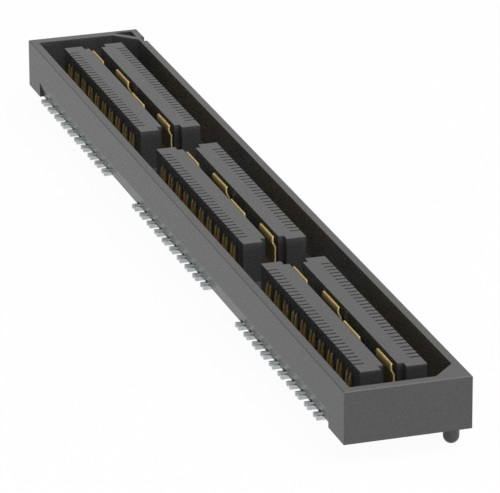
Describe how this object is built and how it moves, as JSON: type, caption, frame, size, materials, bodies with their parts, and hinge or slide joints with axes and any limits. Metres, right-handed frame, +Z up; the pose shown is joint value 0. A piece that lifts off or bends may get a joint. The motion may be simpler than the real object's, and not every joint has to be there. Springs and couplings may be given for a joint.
{
  "type": "board to board connector",
  "caption": "Fine pitch surface-mount socket strip with banks of paired spring contacts and a central ground strip in an open shrouded housing.",
  "frame": {"origin": "centre of the board plane under the housing, level with the solder feet", "axes": "+X along the housing's length, +Y towards the long wall with the locating pegs, +Z up out of the mating cavity"},
  "size_m": [0.0614, 0.0076, 0.0042],
  "materials": {
    "housing_plastic": "fine moulded matt",
    "gold_plated_strip": "gold plate over nickel",
    "gold_plated_contact": "gold plate on the beams, tin on the feet"
  },
  "bodies": {
    "root": {"housing": "housing_plastic", "bank1_ground_strip": "gold_plated_strip", "bank2_ground_strip": "gold_plated_strip", "bank3_ground_strip": "gold_plated_strip", "bank1_left_contacts_1": "gold_plated_contact", "bank1_left_contacts_2": "gold_plated_contact", "bank1_left_contacts_3": "gold_plated_contact", "bank1_left_contacts_4": "gold_plated_contact", "bank1_left_contacts_5": "gold_plated_contact", "bank1_right_contacts_1": "gold_plated_contact", "bank1_right_contacts_2": "gold_plated_contact", "bank1_right_contacts_3": "gold_plated_contact", "bank1_right_contacts_4": "gold_plated_contact", "bank1_right_contacts_5": "gold_plated_contact", "bank2_left_contacts_1": "gold_plated_contact", "bank2_left_contacts_2": "gold_plated_contact", "bank2_left_contacts_3": "gold_plated_contact", "bank2_left_contacts_4": "gold_plated_contact", "bank2_left_contacts_5": "gold_plated_contact", "bank2_right_contacts_1": "gold_plated_contact", "bank2_right_contacts_2": "gold_plated_contact", "bank2_right_contacts_3": "gold_plated_contact", "bank2_right_contacts_4": "gold_plated_contact", "bank2_right_contacts_5": "gold_plated_contact", "bank3_left_contacts_1": "gold_plated_contact", "bank3_left_contacts_2": "gold_plated_contact", "bank3_left_contacts_3": "gold_plated_contact", "bank3_left_contacts_4": "gold_plated_contact", "bank3_left_contacts_5": "gold_plated_contact", "bank3_right_contacts_1": "gold_plated_contact", "bank3_right_contacts_2": "gold_plated_contact", "bank3_right_contacts_3": "gold_plated_contact", "bank3_right_contacts_4": "gold_plated_contact", "bank3_right_contacts_5": "gold_plated_contact"}
  },
  "joints": []
}
